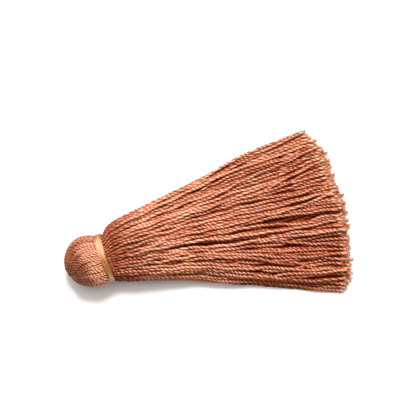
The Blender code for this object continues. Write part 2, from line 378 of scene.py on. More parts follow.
class Nodes:
    """Short calls to add and link the nodes of one material."""

    def __init__(self, name):
        self.material = bpy.data.materials.new(name)
        self.material.use_nodes = True
        self.tree = self.material.node_tree
        self.shader = self.tree.nodes["Principled BSDF"]

    def add(self, kind, **values):
        node = self.tree.nodes.new(kind)
        for key, value in values.items():
            if hasattr(node, key):
                setattr(node, key, value)
            else:
                node.inputs[key.replace("_", " ")].default_value = value
        return node

    def link(self, source, target):
        self.tree.links.new(source, target)

    def attribute(self, name, output="Fac"):
        return self.add("ShaderNodeAttribute", attribute_name=name).outputs[output]

    def maths(self, operation, first, second):
        node = self.add("ShaderNodeMath", operation=operation)
        for socket, value in zip(node.inputs, (first, second)):
            if isinstance(value, (int, float)):
                socket.default_value = value
            else:
                self.link(value, socket)
        return node.outputs[0]

    def spread(self, value, low, high):
        node = self.add("ShaderNodeMapRange", To_Min=low, To_Max=high)
        self.link(value, node.inputs["Value"])
        return node.outputs[0]

    def ramp(self, value, stops):
        node = self.add("ShaderNodeValToRGB")
        elements = node.color_ramp.elements
        while len(elements) < len(stops):
            elements.new(1.0)
        for element, (position, colour) in zip(elements, stops):
            element.position = position
            element.color = (*colour, 1.0)
        self.link(value, node.inputs["Fac"])
        return node.outputs["Color"]

    def streaks(self, vector, changes, detail):
        """Noise drawn out along a thread, with so many changes a metre in each direction."""
        stretch = self.add("ShaderNodeVectorMath", operation="MULTIPLY")
        self.link(vector, stretch.inputs[0])
        stretch.inputs[1].default_value = changes
        noise = self.add("ShaderNodeTexNoise", Scale=1.0, Detail=detail, Roughness=0.55)
        self.link(stretch.outputs[0], noise.inputs["Vector"])
        return noise.outputs["Fac"]

    def multiply(self, first, second):
        """One colour times another."""
        node = self.add("ShaderNodeMix", data_type="RGBA", blend_type="MULTIPLY")
        sockets = {socket.identifier: socket for socket in node.inputs}
        sockets["Factor_Float"].default_value = 1.0
        self.link(first, sockets["A_Color"])
        self.link(second, sockets["B_Color"])
        return next(s for s in node.outputs if s.identifier == "Result_Color")

    def bump(self, height, distance, strength):
        node = self.add("ShaderNodeBump", Strength=strength, Distance=distance)
        self.link(height, node.inputs["Height"])
        self.feed(node.outputs["Normal"], "Normal")

    def feed(self, source, name):
        """Links a source to the shader's socket of that name."""
        self.link(source, self.shader.inputs[name])

    def set_shader(self, **values):
        for key, value in values.items():
            self.shader.inputs[key.replace("_", " ")].default_value = value


def grey(value):
    return (value, value, value)


# Changes of noise a metre along a thread and across it.
SLOW_CHANGES, THREAD_FIBRES = (110.0, 300.0, 300.0), (900.0, 16000.0, 16000.0)
FLOSS_FIBRES = (300.0, 9000.0, 9000.0)
# Multiplied with a cord's colour: painted shade from groove to crest, a painted highlight from dull to
# gleaming, and painted shade in crevices from shut in to open.
PAINTED_GROOVE_SHADE = ((0.60, (0.70, 0.50, 0.42)), (0.78, (0.90, 0.84, 0.80)), (0.92, grey(1.0)))
PAINTED_HIGHLIGHT_TONES = ((0.0, (0.88, 0.80, 0.76)), (0.45, (1.06, 1.14, 1.22)), (1.0, (1.75, 3.15, 4.9)))
PAINTED_CREVICE_SHADE = (
    (0.0, (0.72, 0.05, 0.010)), (0.15, (0.80, 0.24, 0.12)), (0.3, (0.88, 0.50, 0.36)),
    (0.55, (0.96, 0.78, 0.69)), (0.8, grey(1.0)),
)
# Multiplied with the floss's colour where its tone, painted highlight and shade included, is deep and where
# it is pale.
FLOSS_DEEP, FLOSS_PALE = (0.55, 0.40, 0.30), (1.25, 1.60, 2.1)


def thread_material(settings, name="threads", lift=0.0):
    """Silky dyed thread: each cord's tone, painted light included, slow changes, fibres, painted shade in the
    ply grooves and crevices, and a painted highlight on the ply crowns.
    """
    nodes = Nodes(name)
    straight = nodes.attribute("straight", "Vector")
    slow = nodes.streaks(straight, SLOW_CHANGES, 2.0)
    fibres = nodes.streaks(straight, THREAD_FIBRES, 4.0)
    tone = nodes.maths("MULTIPLY", nodes.attribute("tint"), 0.6)
    tone = nodes.maths("ADD", tone, nodes.spread(slow, -0.75, 1.15))
    # lift pales the fibre streaks, a painted glow on the frayed ends.
    tone = nodes.maths("ADD", tone, nodes.spread(fibres, lift - 0.14, lift + 0.14))
    colours = (settings.deep_colour, settings.colour, settings.pale_colour)
    dyed = nodes.ramp(tone, tuple(zip((0.0, 0.5, 1.0), colours)))
    # Painted shade in the ply grooves and in crevices, and a painted highlight on the ply crowns, multiplied
    # into the colour.
    groove = nodes.ramp(nodes.attribute("crest"), PAINTED_GROOVE_SHADE)
    gleam = nodes.attribute("ply_gleam")
    free = nodes.attribute("open")
    twisted = nodes.multiply(nodes.multiply(dyed, groove), nodes.ramp(gleam, PAINTED_HIGHLIGHT_TONES))
    nodes.feed(nodes.multiply(twisted, nodes.ramp(free, PAINTED_CREVICE_SHADE)), "Base Color")
    nodes.feed(nodes.spread(fibres, 0.24, 0.40), "Roughness")
    shine = nodes.ramp(nodes.maths("MULTIPLY", gleam, free), ((0.2, grey(0.0)), (0.8, grey(0.9))))
    nodes.feed(shine, "Specular IOR Level")
    nodes.bump(fibres, 0.02 * MM, 0.7)
    nodes.set_shader(Specular_Tint=(1.0, 0.92, 0.80, 1.0))
    return nodes.material


def floss_material(settings):
    """Glossy untwisted floss: long fine filaments, paler where they lie together, with the painted highlight
    and painted shade their tone carries.
    """
    nodes = Nodes("floss")
    fibres = nodes.streaks(nodes.attribute("straight", "Vector"), FLOSS_FIBRES, 4.0)
    tone = nodes.maths("MULTIPLY", nodes.attribute("tint"), 0.7)
    tone = nodes.maths("ADD", tone, nodes.spread(fibres, -0.5, 0.8))
    colour = tuple(settings.colour)
    deep, pale = (tuple(min(1.0, c * k) for c, k in zip(colour, by)) for by in (FLOSS_DEEP, FLOSS_PALE))
    nodes.feed(nodes.ramp(tone, ((0.0, deep), (0.5, colour), (1.0, pale))), "Base Color")
    nodes.feed(nodes.spread(fibres, 0.22, 0.42), "Roughness")
    nodes.feed(nodes.ramp(tone, ((0.3, grey(0.05)), (0.9, grey(0.55)))), "Specular IOR Level")
    nodes.bump(fibres, 0.015 * MM, 0.6)
    nodes.set_shader(Specular_Tint=(1.0, 0.86, 0.66, 1.0))
    return nodes.material


def mottled(name, colour, low, high, scale, detail):
    """A colour that drifts between two shares of itself, and the noise that it drifts with."""
    nodes = Nodes(name)
    noise = nodes.add("ShaderNodeTexNoise", Scale=scale, Detail=detail)
    where = nodes.add("ShaderNodeTexCoord")
    nodes.link(where.outputs["Object"], noise.inputs["Vector"])
    tones = (tuple(share * value for value in colour) for share in (low, high))
    nodes.feed(nodes.ramp(noise.outputs["Fac"], tuple(zip((0.3, 0.7), tones))), "Base Color")
    return nodes, noise.outputs["Fac"]


def core_material(settings):
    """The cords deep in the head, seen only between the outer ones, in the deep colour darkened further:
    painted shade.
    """
    nodes, noise = mottled("packed_cords_painted_shade", settings.deep_colour, 0.25, 0.7, 1400.0, 4.0)
    nodes.bump(noise, 0.2 * MM, 1.0)
    nodes.set_shader(Roughness=0.85, Specular_IOR_Level=0.2)
    return nodes.material


def floor_material(settings):
    """The plain pale table."""
    nodes, _ = mottled("pale_table", settings.floor_colour, 0.99, 1.0, 60.0, 2.0)
    nodes.set_shader(Roughness=0.9, Specular_IOR_Level=0.1)
    return nodes.material


# ---- skirt

GOLDEN = (1 + math.sqrt(5)) / 2
LATTICE_STEPS, LATTICE_SHIFT = 60, (0.31, 0.17)
# How far cords stray from even places in the bundle, and their thickness by the binding.
PLACE_UNEVENNESS, NECK_SQUEEZE = 0.045, 0.74
# Where along the skirt the locks change, and how sides and heights count for them.
LOCK_STAGES, LOCK_STRETCH = np.array([0.0, 0.22, 0.45, 0.70, 1.0]), np.array([1.0, 0.42])
# A stray cord's waves, and its rise against its sideways stray.
STRAY_WAVES, STRAY_HEIGHT = (0.6, 1.3, 2.4, 4.0), 0.8
# Settling: rounds, calm ones at the end, and what a round takes off overlaps, spread and bends.
ROUNDS, CALM_ROUNDS, PUSH, DRAW, SMOOTH = 60, 12, 0.42, 0.0015, 0.02
# How far cords fall in a round, over which reach that grows, and the radii they stay apart.
FALL, FALL_GROWS, SETTLED_APART = 0.012 * MM, 20 * MM, 1.66
# How far a parting moves cords aside and down, as shares of its width.
PARTING_ASIDE, PARTING_SINK = 0.36, 0.55
# The bundle under the binding, as (distance before the neck's end, radius).
ROOTS = ((ROOT_LENGTH, 5.62 * MM), (1.3 * MM, 5.62 * MM), (0.3 * MM, 5.72 * MM))
# Millimetres cut off from the right edge to the left, and how much longer the lowest cords are.
CUT_PLACES = (-1.0, -0.85, 0.1, 0.6, 0.8, 0.95, 1.0)
CUT_SHORTER = (1.4, 0.0, 0.0, 0.8, 1.8, 3.2, 4.0)
LOWER_LONGER = 1.5 * MM
# Light from above as (degrees from upright towards the left, share), and the light from the table.
LIGHT_LEANS = ((-75, 0.10), (-50, 0.12), (-25, 0.14), (0, 0.20), (20, 0.18), (40, 0.14), (65, 0.12))
TABLE_LEANS, TABLE_LIGHT = (-100, 100, 150, 180, 210), 0.65
# In radii: how near a cord gives shade, and where beside it that starts to clear and over how much.
SHADE_RANGE, SHADE_START, SHADE_BLUR = 4.5, 0.70, 0.35
# The light on a cord's last rings, and the reach over which shade grows from soft to full.
END_LIGHT, END_RINGS, SOFT_FROM, SOFT_OVER = 0.9, 7, 2 * MM, 24 * MM
# The crimp's size, and the reach over which it grows, at which it fades and over which it does so.
CRIMP, CRIMP_GROWN, CRIMP_FADES, CRIMP_FADE = 0.15 * MM, 4 * MM, 20 * MM, 30 * MM


def lattice_places(count):
    """Evenly spread (sideways, upwards) places in a round bundle, from -1 to 1, the middle first."""
    steps = np.arange(-LATTICE_STEPS, LATTICE_STEPS + 1)
    i, j = (grid.reshape(-1) for grid in np.meshgrid(steps, steps, indexing="ij"))
    places = np.stack([i + j * GOLDEN + LATTICE_SHIFT[0], i - j / GOLDEN + LATTICE_SHIFT[1]], axis=1)
    far = np.hypot(*places.T)
    return places[np.argsort(far, kind="stable")[:count]] / np.sort(far)[count - 1]


def fan_columns():
    """The fan's right and left edges, height, lift and flatness at its stations."""
    known = FAN_SECTIONS[:, 0] * MM
    return [np.interp(STATIONS, known, row) * unit for row, unit in zip(FAN_SECTIONS.T[1:], FAN_UNITS)]


def cord_scale(reach):
    """How squeezed a cord is near the binding, as a share of its full thickness."""
    return NECK_SQUEEZE + (1 - NECK_SQUEEZE) * ease(reach + 1 * MM, 9 * MM)


def lock_field(places, share, locks, rng):
    """Sideways and upward moves that gather cords into locks, which change along the skirt."""
    moves = [np.zeros_like(places)]
    for _ in LOCK_STAGES[1:]:
        around, out = rng.uniform(0, TAU, locks), np.sqrt(rng.uniform(0, 1, locks))
        centres = np.stack([out * np.cos(around), out * np.sin(around)], axis=1)
        far = norm((places[:, None] - centres[None]) * LOCK_STRETCH, axis=2)
        moves.append(centres[far.argmin(axis=1)] - places)
    moves = np.stack(moves)
    stage, blend = between(share, LOCK_STAGES)
    blend = ease(blend)
    return moves[stage] * (1 - blend) + moves[stage + 1] * blend


def stray_field(count, share, rng):
    """Slow wandering of each cord on its own."""
    shift = np.zeros((len(share), count))
    for waves in STRAY_WAVES:
        phase = rng.uniform(0, TAU, count)
        shift += np.sin(TAU * waves * share[:, None] + phase) / (0.7 + waves)
    return shift * (0.35 + 1.3 * rng.uniform(0, 1, count) ** 2)


def settle(spots, apart, lowest):
    """Lets cords fall and draw together a little, and pushes apart those that overlap, at every station."""
    middle = spots[..., 0].mean(axis=1, keepdims=True)
    fall = FALL * ease(STATIONS, FALL_GROWS)
    each = np.arange(spots.shape[1])
    for turn in range(ROUNDS):
        if turn < ROUNDS - CALM_ROUNDS:
            spots[..., 1] -= fall[:, None]
            spots[..., 0] += DRAW * (middle - spots[..., 0])
        gap = spots[:, :, None, :] - spots[:, None, :, :]
        far = norm(gap, axis=-1) + 1e-9
        deep = np.clip(apart[:, None, None] - far, 0.0, None)
        deep[:, each, each] = 0.0
        spots += PUSH * (gap / far[..., None] * deep[..., None]).sum(axis=2)
        spots[1:-1] = (1 - 2 * SMOOTH) * spots[1:-1] + SMOOTH * (spots[:-2] + spots[2:])
        spots[..., 1] = np.maximum(spots[..., 1], lowest[:, None])
    return spots


def part_cords(spots, half_width, share, skirt, rng):
    """Opens grooves that run some way along the skirt: cords draw aside and sink where one passes."""
    middle = spots[..., 0].mean(axis=1, keepdims=True)
    shift = np.zeros_like(spots)
    upper = ease(spots[..., 1] / spots[..., 1].max(axis=1, keepdims=True))
    for _ in range(skirt.partings):
        place, drift = rng.uniform(-0.84, 0.84), rng.normal(0.0, 0.10)
        centre, length = rng.uniform(0.25, 1.05), rng.uniform(0.16, 0.42)
        depth = rng.uniform(0.4, 1.0) ** 1.5
        here = (ease(1.6 * (1 - np.abs(share - centre) / length)) * (1 - 0.7 * ease(3 * share - 2)))[:, None]
        line = middle + half_width[:, None] * (place + drift * (share - centre)[:, None])
        aside = (spots[..., 0] - line) / skirt.parting_width
        near = here * depth * np.exp(-0.5 * aside ** 2)
        shift[..., 0] += near * np.tanh(2.5 * aside) * PARTING_ASIDE * skirt.parting_width
        shift[..., 1] -= near * np.exp(-aside ** 2) * PARTING_SINK * skirt.parting_width
    return spots + shift * upper[..., None]


def fit_between(values, low, high):
    """Stretches each station's values to reach from low to high."""
    first, last = values.min(axis=1, keepdims=True), values.max(axis=1, keepdims=True)
    return low[:, None] + (values - first) / (last - first) * (high - low)[:, None]


def fan_spots(places, radius, distance, skirt, rng):
    """Where the cords lie at each station, sideways and above the table, and the fan's two edges."""
    right, left, top, lift, settled = fan_columns()
    right, left = right + radius / distance, left - radius / distance
    side, up = places.T
    share = np.clip(STATIONS / skirt.length, 0.0, 1.0)
    half_width, thick = (left - right) * distance / 2, top - lift
    round_half = np.sqrt(np.clip(1 - side * side, 0.0025, 1))
    settled = settled[:, None]
    power = 2 + settled
    half = np.clip(1 - np.abs(side) ** power, 0.0, 1) ** (1 / power)
    lifted = up * half / round_half + 1 - settled * (1 - half)
    pile = (thick - 2 * radius)[:, None] * lifted / 2
    height = lift[:, None] + radius[:, None] + np.maximum(pile, 0.0)
    across = (right[:, None] + (left - right)[:, None] * (side + 1) / 2) * distance[:, None]
    moves = (skirt.lock_pull * (0.5 + share))[:, None, None] * lock_field(places, share, skirt.locks, rng)
    across += moves[..., 0] * half_width[:, None]
    height += moves[..., 1] * (thick / 2)[:, None]
    grown = share[:, None] ** 0.8
    across += skirt.stray_shift * grown * stray_field(len(side), share, rng)
    height += STRAY_HEIGHT * skirt.stray_shift * grown * stray_field(len(side), share, rng)
    spots = settle(np.stack([across, height], axis=-1), SETTLED_APART * radius, lift + radius)
    spots = part_cords(spots, half_width, share, skirt, rng)
    spots[..., 1] = np.maximum(spots[..., 1], (lift + radius)[:, None])
    spots[..., 0] = fit_between(spots[..., 0], right * distance, left * distance)
    highest = np.minimum(spots[..., 1].max(axis=1), top - radius)
    spots[..., 1] = fit_between(spots[..., 1], lift + radius, highest)
    return spots, right, left


def skirt_routes(skirt, cord):
    """Each cord's points from its root to past its cut, the fan's apex, the cuts, and the fan's spots."""
    rng = np.random.default_rng(skirt.seed)
    places = lattice_places(skirt.cords)
    places += rng.uniform(-PLACE_UNEVENNESS, PLACE_UNEVENNESS, places.shape)
    places /= np.maximum(1.0, np.hypot(*places.T))[:, None]
    distance = FAN_BEHIND_NECK + STATIONS
    radius = cord.diameter / 2 * cord_scale(STATIONS)
    spots, right, left = fan_spots(places, radius, distance, skirt, rng)
    turned = spots[..., 0] / distance[:, None]
    neck = HEAD_CENTRE + AHEAD * NECK_END + NECK_SHIFT
    apex = np.array([neck[0] - FAN_BEHIND_NECK, neck[1] + FAN_SIDE_SHIFT])
    x, y = apex[0] + np.cos(turned) * distance[:, None], apex[1] + np.sin(turned) * distance[:, None]
    fan = np.stack([x, y, FLOOR_Z + spots[..., 1]], axis=-1)
    disc = places[:, :1] * LEFTWARDS + places[:, 1:] * UP
    roots = [neck - AHEAD * back + disc * out for back, out in ROOTS]
    routes = np.concatenate([roots, fan]).transpose(1, 0, 2)
    final = 2 * (turned[-1] - right[-1]) / (left[-1] - right[-1]) - 1
    uneven = skirt.cut_unevenness * rng.normal(0.0, 0.75, len(places)).clip(-1.6, 1.8)
    below = 0.5 - spots[-1, :, 1] / spots[-1, :, 1].max()
    cut = skirt.length - MM * np.interp(final, CUT_PLACES, CUT_SHORTER) + uneven + LOWER_LONGER * below
    return routes, apex, cut, spots


def exposure(spots, apart):
    """How much of each cord shows from above, and from below or the side, as shares of its length."""
    aside, above = np.moveaxis(spots[:, None] - spots[:, :, None], -1, 0)
    apart = apart[:, None, None]
    near = np.abs(aside) < 0.55 * apart
    return [1 - (near & (way * above > 0.35 * apart)).any(axis=2).mean(axis=0) for way in (1, -1)]


def crimp(reach, tint, phase, shade):
    """How far sideways and up a cord's fine crimp carries it, at each distance from the neck."""
    size = CRIMP * ease(reach, CRIMP_GROWN) * (1 - 0.6 * ease(reach - CRIMP_FADES, CRIMP_FADE))
    size = size * (1 - 0.75 * ease(np.abs(2 * shade - 1) - 0.8, 0.15))
    sway = TAU * reach / ((5.0 + 4.0 * tint) * MM) + 3 * phase
    return size * np.sin(sway), 0.4 * size * (1 + np.cos(1.3 * sway))


def skirt_openness(index, spots, apex, radius, habits):
    """A function that tells how much of the light reaches each point of a cord among the others."""
    apart = norm(spots - spots[:, index:index + 1], axis=-1).min(axis=0)
    apart[index] = np.inf
    near = apart < SHADE_RANGE * radius.max()
    others = spots[:, near]
    soft = 0.55 + 0.35 * math.cos(habits[1, index])

    def openness(surface, _):
        flat = surface[..., :2] - apex
        distance = norm(flat, axis=-1)
        across = np.arctan2(flat[..., 1], flat[..., 0]) * distance
        height = surface[..., 2] - FLOOR_Z
        reach = distance.mean(axis=1) - FAN_BEHIND_NECK
        station, share = between(reach, STATIONS)
        centres = others[station] * (1 - share) + others[station + 1] * share
        centres = centres + np.stack(crimp(reach[:, None], *habits[:, None, near]), axis=-1)
        size = np.interp(reach, STATIONS, radius)[:, None, None]
        aside = (centres[:, None, :, 0] - across[..., None]) / size
        above = (centres[:, None, :, 1] - height[..., None]) / size

        def clear(lean):
            sine, cosine = math.sin(math.radians(lean)), math.cos(math.radians(lean))
            past = np.clip((np.abs(aside * cosine - above * sine) - SHADE_START) / SHADE_BLUR, 0.0, 1.0)
            behind = aside * sine + above * cosine < 0.0
            return np.where(behind, 1.0, past).min(axis=2)

        lit = sum(weight * clear(lean) for lean, weight in LIGHT_LEANS)
        for lean in TABLE_LEANS:
            lit = np.maximum(lit, TABLE_LIGHT * clear(lean))
        from_end = np.arange(len(lit))[::-1, None]
        lit = np.maximum(lit, END_LIGHT * ease(1.2 - from_end / END_RINGS))
        return lit + soft * (1 - lit) * (1 - ease(reach[:, None] - SOFT_FROM, SOFT_OVER))

    return openness


def skirt_tone_and_painted_light(tint, shade, along):
    """A cord's random tint plus painted shade by the neck and binding, painted light at the cut and a third
    of the way along, and painted shade towards the far end and lower edge.
    """
    past_root, share = along - ROOT_LENGTH, along / along[-1]
    tone = tint - 1.4 * (1 - ease(past_root, 15 * MM))
    tone -= 2.0 * (1 - ease(past_root, 2.5 * MM))
    tone += 1.8 * (1 - ease(along[-1] - along, 1.9 * MM))
    tone += 0.22 * np.exp(-((share - 0.34) / 0.2) ** 2)
    tone -= (0.1 + 0.45 * shade) * share ** 2
    return tone - 0.5 * ease(shade - 0.88, 0.12) * ease(share - 0.45, 0.3)


def ply_section(index, from_above, from_below):
    """The name of a cord's section, lighter the less it shows."""
    if from_above[index] < 0.03 and from_below[index] < 0.15:
        return "lightest"
    return "full" if from_above[index] > 0.12 else "lighter"


def build_skirt(skirt, cord):
    """Lays the cords, in pieces side by side, and frays their ends."""
    routes, apex, cut, spots = skirt_routes(skirt, cord)
    rng = np.random.default_rng(skirt.seed + 100)
    apart = cord.diameter * cord_scale(STATIONS)
    seen = exposure(spots, apart)
    material = thread_material(cord)
    step = cord.turn * cord.ring_turns / TAU
    sides = spots[-1, :, 0]
    shades = (sides.max() - sides) / np.ptp(sides)
    habits = np.stack([rng.uniform(0.0, 1.0, len(routes)), rng.uniform(0.0, TAU, len(routes)), shades])
    ends = []
    for number, group in enumerate(np.array_split(np.argsort(sides), 5)):
        tubes = Tubes(len(group))
        for index in group:
            tint, phase, shade = habits[:, index]
            angles, radii = section(ply_section(index, *seen), cord.diameter / 2)
            fine = smooth_route(routes[index])
            reach = norm(fine[:, :2] - apex, axis=1) - FAN_BEHIND_NECK
            points, along = even_route(fine, step, np.interp(cut[index], reach, run_along(fine)))
            _, sideways, _ = directions(points, UP)
            reach = norm(points[:, :2] - apex, axis=1) - FAN_BEHIND_NECK
            aside, above = crimp(reach, *habits[:, index])
            points = points + sideways * aside[:, None] + UP * above[:, None]
            past_root, left = along - ROOT_LENGTH, along[-1] - along
            scale = cord_scale(past_root) * (1.12 - 0.12 * ease(past_root, 16 * MM))
            scale *= 0.72 + 0.28 * ease(left, 0.8 * MM)
            loose = 1.1 * np.sin(TAU * along / (rng.uniform(6.0, 16.0) * MM) + phase)
            spin = phase + TAU * along / (cord.turn * rng.uniform(0.82, 1.2)) + loose
            wave = rng.uniform(12.0, 40.0) * MM
            drawn = 0.5 * (1 - 0.7 * shade) * (1 - ease(past_root, 28 * MM))
            drawn += 0.25 * (1 - drawn) * (1 + np.sin(TAU * along / wave + phase))
            radii = radii + (0.86 * cord.diameter / 2 - radii) * drawn[:, None]
            # The tone carries painted shade and painted light along the cord.
            tone = skirt_tone_and_painted_light(tint, shade, along)
            openness = skirt_openness(index, spots, apex, apart / 2, habits)
            tubes.add(points, along, angles, radii, spin, scale, UP, tone, 76 * MM, openness)
            ends.append((points[-1], unit(points[-1] - points[-4]), tint))
        put_piece(f"skirt_cords_{number + 1}", tubes, material, ("thread_bundle",))
    fray_ends(ends, cord, rng)


# Fibres at each cut end, points along one, and how much paler than its cord it is as a painted glow, up to a
# limit.
FIBRES, FIBRE_POINTS, FIBRE_PAINTED_GLOW, FIBRE_PALEST = 10, 5, 0.8, 1.5


def fray_ends(ends, cord, rng):
    """Short loose fibres at each cut end."""
    tubes = Tubes(len(ends) * FIBRES)
    angles = np.radians([90.0, 210.0, 330.0])
    share = np.linspace(0.0, 1.0, FIBRE_POINTS)[:, None]
    scale = np.linspace(1.0, 0.35, FIBRE_POINTS)
    for point, along, tint in ends:
        side = unit(np.cross(UP, along))
        top = np.cross(along, side)
        for fibre in range(FIBRES):
            turn = TAU * (fibre + rng.uniform(-0.4, 0.4)) / FIBRES
            out = side * math.cos(turn) + top * math.sin(turn)
            start = point - along * 0.35 * MM + out * cord.diameter * rng.uniform(0.12, 0.30)
            length = rng.uniform(0.5, 1.15) * MM
            splay = rng.uniform(0.1, 0.65)
            points = start + along * length * share + out * (splay * length * share ** 1.4)
            points[:, 2] = np.maximum(points[:, 2], FLOOR_Z + 0.06 * MM)
            radii = np.full(3, rng.uniform(0.055, 0.085) * MM)
            tone = min(FIBRE_PALEST, tint + FIBRE_PAINTED_GLOW)
            run, spin = share[:, 0] * length, np.zeros(FIBRE_POINTS)
            tubes.add(points, run, angles, radii, spin, scale, UP, tone, 2 * MM, plain=0.5)
    # The ends' fibre streaks are lifted paler: a painted glow at the cut.
    put_piece("frayed_ends", tubes, thread_material(cord, "thread_ends", 0.6))


class TASSEL_OT_skirt(Operator):
    """Lay the skirt's cords from the neck to their cut ends, and fray the ends"""
    bl_idname = "tassel.skirt"
    bl_label = "Build Skirt"

    def execute(self, context):
        build_skirt(context.scene.tassel_skirt, context.scene.tassel_cord)
        return {"FINISHED"}


# ---- head

# Angles from the crown: where the head turns, grows fuller and shifts to the neck's side, and its cords end.
TURN_FROM, TURN_OVER = 12.0 * DEGREE, 100.0 * DEGREE
FULL_FROM, FULL_OVER = 50.0 * DEGREE, 55.0 * DEGREE
SHIFT_FROM, SHIFT_OVER = 70.0 * DEGREE, 45.0 * DEGREE
CORDS_END = 113.0 * DEGREE
# Where the three kinds of cord start, the first of them at the crown angle.
STARTS = (None, 10.0 * DEGREE, 24.0 * DEGREE)
# The head's cords and its core under the binding, as (distance past the head's middle, radius).
HEAD_TAIL = ((3.25 * MM, 5.95 * MM), (4.0 * MM, 5.70 * MM), (4.7 * MM, 5.55 * MM))
CORE_NECK = [(3.2 * MM, 5.4 * MM), (5.0 * MM, 5.2 * MM), (6.0 * MM, 4.2 * MM)]


def head_point(angle, around, radius):
    """A point of the head at an angle from its crown and around its turned axis."""
    share = ease(angle - TURN_FROM, TURN_OVER)
    yaw = CROWN_YAW + (HEAD_YAW - CROWN_YAW) * share
    rise = CROWN_RISE * (1 - share)
    along = np.stack([np.cos(yaw) * np.cos(rise), np.sin(yaw) * np.cos(rise), -np.sin(rise)], axis=-1)
    aside = np.stack([-np.sin(yaw), np.cos(yaw), np.zeros_like(yaw)], axis=-1)
    out = np.cos(around)[:, None] * aside + np.sin(around)[:, None] * np.cross(along, aside)
    radius = radius * (1 + HEAD_FULLNESS * ease(angle - FULL_FROM, FULL_OVER))
    out *= (radius * np.sin(angle))[:, None]
    neckwards = ease(angle - SHIFT_FROM, SHIFT_OVER)[:, None]
    return HEAD_CENTRE - along * (radius * np.cos(angle))[:, None] + out + NECK_SHIFT * neckwards


def outward_openness(_, outward):
    """How much light reaches the surface of a cord laid among others, for its painted shade: most where it
    faces outwards.
    """
    return ease(0.42 + 0.8 * outward)


def head_tone_and_painted_light(base, side, from_crown):
    """A head cord's tone: darker at the crown, less so below, then paler with painted light that turns to
    painted shade on the upper side.
    """
    upper, lower = ease(side - 0.15, 0.7), ease(-side - 0.1, 0.6)
    tone = base - (2.2 - 1.1 * lower) * (1 - ease(from_crown - 4 * MM, 7 * MM))
    return tone + (1.5 - 1.7 * upper) * ease(from_crown - 6 * MM, 4 * MM)


def build_head(head, cord):
    """Lays the cords round the head and under the binding."""
    rng = np.random.default_rng(head.seed)
    thick = head.squeeze * cord.diameter / 2
    tubes = Tubes(head.cords)
    angles, radii = section("drawn", thick)
    for number in range(head.cords):
        kind = (0, 2, 1, 2)[number % 4]
        first = STARTS[kind] or head.crown_angle
        angle = np.linspace(first, CORDS_END, 15)
        around = TAU * (number + rng.uniform(-0.12, 0.12)) / head.cords
        waver = 0.018 * np.sin(angle * rng.uniform(1.5, 4.0) + rng.uniform(0, TAU))
        under = ease(angle - first, math.radians(15.0))
        sunk = (0.9 if kind else 0.7) * MM * (1 - under)
        radius = HEAD_RADIUS - 0.97 * thick - sunk + rng.uniform(-0.05, 0.05) * MM
        points = head_point(angle, around + waver, radius)
        side = math.cos(around)
        disc = LEFTWARDS * side + UP * math.sin(around)
        tail = [HEAD_CENTRE + NECK_SHIFT + AHEAD * ahead + disc * out for ahead, out in HEAD_TAIL]
        points = np.vstack([points, tail])
        points[:, 2] = np.maximum(points[:, 2], FLOOR_Z + 0.95 * thick)
        points, along = even_route(smooth_route(points), head.turn / 10)
        upward = unit(points - HEAD_CENTRE)
        loose = 0.8 * np.sin(TAU * along / (rng.uniform(4.0, 9.0) * MM) + rng.uniform(0, TAU))
        spin = rng.uniform(0, TAU) + TAU * along / (head.turn * rng.uniform(0.85, 1.2)) + loose
        left = along[-1] - along
        scale = (0.6 + 0.4 * ease(along, 5 * MM)) * (0.85 + 0.15 * ease(left, 4 * MM))
        tone = head_tone_and_painted_light(rng.uniform(0.0, 1.0), side, along + first * HEAD_RADIUS)
        tubes.add(points, along, angles, radii, spin, scale, upward, tone, 30 * MM, outward_openness)
    put_piece("head_cords", tubes, thread_material(cord, "head_threads"))


def build_core(cord):
    """A dark ball and neck inside the outer cords."""
    around = 48
    tubes = Tubes(1)
    radius = HEAD_RADIUS - 1.15 * cord.diameter
    angles = np.radians(np.linspace(6.0, 112.0, 22))
    ball = [(-radius * math.cos(angle), radius * math.sin(angle)) for angle in angles]
    ahead, out = np.array(ball + CORE_NECK).T
    points = HEAD_CENTRE + AHEAD * ahead[:, None] + NECK_SHIFT * ease(ahead[:, None], 3 * MM)
    turn = np.linspace(0, TAU, around, endpoint=False)
    along, spin = ahead - ahead[0], np.zeros(len(ahead))
    tubes.add(points, along, turn, np.ones(around), spin, out, UP, 0.5, 20 * MM)
    put_piece("head_core", tubes, core_material(cord))


class TASSEL_OT_head(Operator):
    """Fold the cords over the crown into the round head"""
    bl_idname = "tassel.head"
    bl_label = "Build Head"

    def execute(self, context):
        build_head(context.scene.tassel_head, context.scene.tassel_cord)
        build_core(context.scene.tassel_cord)
        return {"FINISHED"}


# ---- binding

# Painted highlight and painted shade on the floss round the neck, as (angle from its left side over the top,
# width, change).
FLOSS_PAINTED_LIGHT = ((0.2, 0.4, -0.9), (1.2, 0.45, 0.5), (2.1, 0.45, -0.8), (2.8, 0.3, 0.5))
# How far off the neck the floss lies, a turn's height, and how close the turns draw at the far side.
FLOSS_LIFT, TURN_CROWN, NARROWED = 0.34 * MM, 0.24 * MM, 0.88


